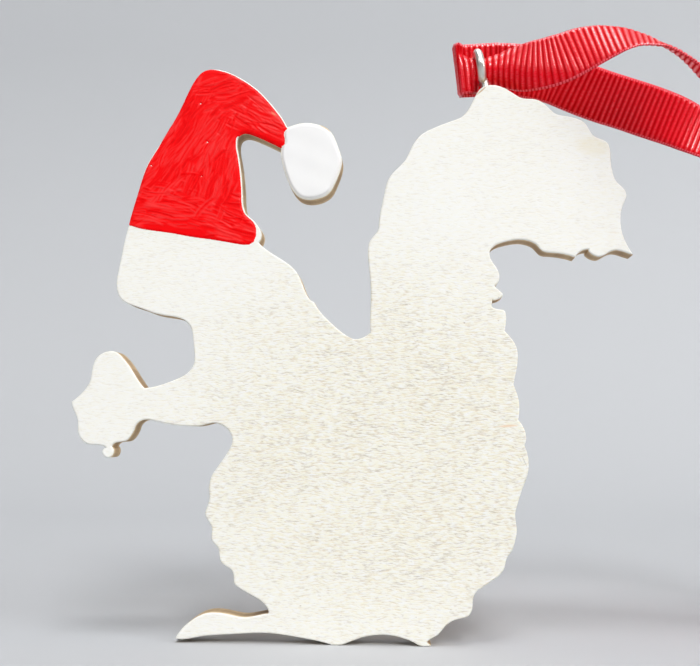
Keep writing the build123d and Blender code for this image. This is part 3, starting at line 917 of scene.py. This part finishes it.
def hat_relief(points, depth):
    """Overlapping strokes of a stiff brush in thick paint."""
    x, z = points.T
    chance = random.Random(7)
    level = np.full(x.shape, 0.12)
    shade = np.full(x.shape, 0.5)
    strokes = [zone for zone in stroke_zones for _ in range(zone[5])]
    chance.shuffle(strokes)
    for count, (cx, cz, sx, sz, angle, _) in enumerate(strokes):
        ax = cx + chance.gauss(0, 1) * sx * 0.6
        az = cz + chance.gauss(0, 1) * sz * 0.6
        turn = math.radians(angle + chance.uniform(-14, 14))
        bend = chance.uniform(-0.09, 0.09)
        length = chance.uniform(1.6, 5.0)
        width = chance.uniform(0.45, 1.15)
        u = (x - ax) * math.cos(turn) + (z - az) * math.sin(turn)
        v = -(x - ax) * math.sin(turn) + (z - az) * math.cos(turn) + bend * u * u
        inside = np.clip((length / 2 - np.abs(u)) / 0.7, 0, 1)
        inside = inside * np.clip((width / 2 - np.abs(v)) / 0.22, 0, 1)
        bristles = uneven(v * 1.4, count * 3 + 1) * 0.022
        ridge = np.exp(-(((np.abs(v) - width / 2 + 0.14) / 0.1) ** 2))
        top = 0.13 + chance.uniform(-0.025, 0.03) + bristles + 0.035 * ridge
        level = level * (1 - inside) + top * inside
        # A stroke's tone varies at random and rises with its bristle lines and ridge: painted
        # highlight on the raised paint and painted shade in its grooves.
        tone_and_highlight = 0.46 + chance.uniform(-0.26, 0.26) + bristles * 12 + 0.35 * ridge
        shade = shade * (1 - inside * 0.7) + np.minimum(tone_and_highlight, 0.9) * inside * 0.7
    for sx, sz, size in bare_specks:
        hole = np.exp(-(((x - sx) ** 2 + (z - sz) ** 2) / size**2))
        level = level - 0.3 * hole
    right = x + 10.8
    up = z - 73.17
    thin = np.exp(-(((right + up) / 0.5) ** 2) - ((right - up) / 1.8) ** 2)
    shade = shade * (1 - thin) + thin
    brim_end = 0.7 * MM * np.exp(-(((x + 12.9) / 1.0) ** 2 + ((z - 55.2) / 1.5) ** 2))
    rim = rounded_rim(depth - brim_end, HAT_RIM_RADIUS)
    return rim * np.maximum(level, -0.02) * MM - COAT_SINK, shade


def pompom_relief(points, depth):
    """One thick drop of paint with a soft rim and a few low swells."""
    x, z = points.T
    swell = 0.012 * np.sin(x * 1.3 + 0.6) + 0.014 * np.sin(z * 1.7 + x * 0.8)
    height = rounded_rim(depth, POMPOM_RIM_RADIUS) * (0.25 + swell) * MM - COAT_SINK
    return height, np.full(x.shape, 0.5)


def hat_wrap(points, outward):
    """Full where the rim looks left or down into the notch, but for a bare line by the brow."""
    x, z = points.T
    facing = outward @ np.array((-0.83, 0.55))
    bare = np.exp(-(((x + 28.6) / 2.2) ** 2 + ((z - 67.6) / 3.2) ** 2))
    roof = np.clip((-outward[:, 1] - 0.3) / 0.3, 0, 1) * (z > 66)
    left = np.clip((facing - 0.25) / 0.4, 0, 1) * (1 - 0.9 * bare)
    return np.maximum(np.maximum(left, 1.15 * roof), 0.3)


def no_wrap(points, outward):
    """The rim stays on the face."""
    return np.zeros(len(points))


def red_paint():
    """Craft paint with a soft gloss; its colour is painted deeper in the strokes' grooves and
    paler on their ridges, as shade and highlight, and orange where the paint lies thin.
    """
    made, tree, shader = new_material("red_paint")
    shade = node(tree, "ShaderNodeAttribute", attribute_name="shade").outputs["Fac"]
    place = node(tree, "ShaderNodeTexCoord").outputs["Object"]
    grain = noise(tree, place, (1500, 1500, 1500), detail=3)
    colour = ramp(
        tree,
        shade,
        [
            (0.1, screen(228, 0, 4)),
            (0.5, screen(252, 2, 8)),
            (0.86, screen(252, 56, 56)),
            (1.0, screen(248, 130, 98)),
        ],
    )
    tree.links.new(colour, shader.inputs["Base Color"])
    shader.inputs["Roughness"].default_value = 0.36
    shader.inputs["Specular IOR Level"].default_value = 0.08
    roughen(tree, shader, grain, 0.15, 0.05 * MM)
    return made


def white_paint():
    """Thick smooth white with faint clouds."""
    made, tree, shader = new_material("white_paint")
    place = node(tree, "ShaderNodeTexCoord").outputs["Object"]
    cloud = noise(tree, place, (350, 350, 350), detail=2)
    colour = mix_colours(tree, cloud, screen(248, 247, 245), screen(244, 243, 242))
    tree.links.new(colour, shader.inputs["Base Color"])
    shader.inputs["Roughness"].default_value = 0.42
    shader.inputs["Specular IOR Level"].default_value = 0.15
    return made


hat_coat = paint_coat("hat_coat", "hat_paint", hat_relief, hat_wrap, red_paint())
pompom_coat = paint_coat("pompom_coat", "pompom_paint", pompom_relief, no_wrap, white_paint())
for piece, slab, finish in (
    (hat_coat, "hat_paint", "red_paint"),
    (pompom_coat, "pompom_paint", "white_paint"),
):
    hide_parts(slab)
    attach(piece, "board")

# The setting: a sheet of pale grey paper under the board, curved up behind it,
# with large soft lamps in front and above and a weak one on each side. The two
# sheens only add gloss.
PAPER_HALF_WIDTH = 1.6
PAPER_FRONT = -0.7
PAPER_BEND = 0.18
PAPER_BEND_RADIUS = 0.3
PAPER_RISE = 1.5
BEND_STEPS = 32


def paper_sheet():
    """The sheet: a front edge drawn back, turned upwards and drawn up."""
    sheet = bmesh.new()
    ends = [sheet.verts.new((side * PAPER_HALF_WIDTH, PAPER_FRONT, 0)) for side in (-1, 1)]
    grown = bmesh.ops.extrude_edge_only(sheet, edges=[sheet.edges.new(ends)])["geom"]
    drawn = verts_of(grown)
    bmesh.ops.translate(sheet, verts=drawn, vec=(0, PAPER_BEND - PAPER_FRONT, 0))
    back_edge = [edge for edge in open_edges_of(grown) if set(edge.verts) == set(drawn)]
    curved = bmesh.ops.spin(
        sheet,
        geom=back_edge + drawn,
        cent=(0, PAPER_BEND, PAPER_BEND_RADIUS),
        axis=(1, 0, 0),
        angle=math.radians(90),
        steps=BEND_STEPS,
    )["geom_last"]
    grown = bmesh.ops.extrude_edge_only(sheet, edges=open_edges_of(curved))["geom"]
    bmesh.ops.translate(sheet, verts=verts_of(grown), vec=(0, 0, PAPER_RISE))
    bmesh.ops.recalc_face_normals(sheet, faces=sheet.faces)
    return sheet


paper, _, paper_shader = new_material("paper")
paper_shader.inputs["Base Color"].default_value = screen(196, 198, 201)
paper_shader.inputs["Roughness"].default_value = 0.9
paper_shader.inputs["Specular IOR Level"].default_value = 0.0
add_piece("paper_sweep", paper_sheet(), paper)

# The lamps: the place and the size in metres, the power, and whether it lights
# the surfaces or only adds gloss.
lit_middle = Vector((0, 0, 0.04))
for name, place, size, power, lights_surfaces in (
    ("key", (0.6, -2.16, 2.0), 1.1, 44.0, True),
    ("top", (0.3, -0.76, 2.75), 1.0, 29.0, True),
    ("overhead_sheen", (0, 0.1, 2.6), 1.7, 70.0, False),
    ("front_sheen", (0.4, -2.2, 1.7), 0.9, 60.0, False),
    ("left_fill", (-1.2, -1.28, 0.8), 0.8, 4.8, True),
    ("right_fill", (1.2, -0.48, 0.5), 0.5, 6.2, True),
):
    light = bpy.data.lights.new(name, "AREA")
    light.size = size
    light.energy = power
    lamp = bpy.data.objects.new(name, light)
    lamp.location = place
    lamp.rotation_euler = (lit_middle - Vector(place)).to_track_quat("-Z", "Y").to_euler()
    lamp.visible_diffuse = lights_surfaces
    bpy.context.scene.collection.objects.link(lamp)

# The room round it: dark low down and light above, and plain where it is seen.
SKY_STRENGTH = 0.2
world = bpy.data.worlds.new("world")
world.use_nodes = True
sky = world.node_tree
sky_place = node(sky, "ShaderNodeTexCoord").outputs["Generated"]
sky_height = node(sky, "ShaderNodeSeparateXYZ", {0: sky_place}).outputs["Z"]
sky_light = ramp(sky, sky_height, [(0.1, (0.09, 0.09, 0.09, 1)), (0.9, (1, 1, 1, 1))])
straight = node(sky, "ShaderNodeLightPath").outputs["Is Camera Ray"]
seen = mix_colours(sky, straight, sky_light, (3.4, 3.45, 3.5, 1))
background = sky.nodes["Background"]
sky.links.new(seen, background.inputs["Color"])
background.inputs["Strength"].default_value = SKY_STRENGTH
bpy.context.scene.world = world
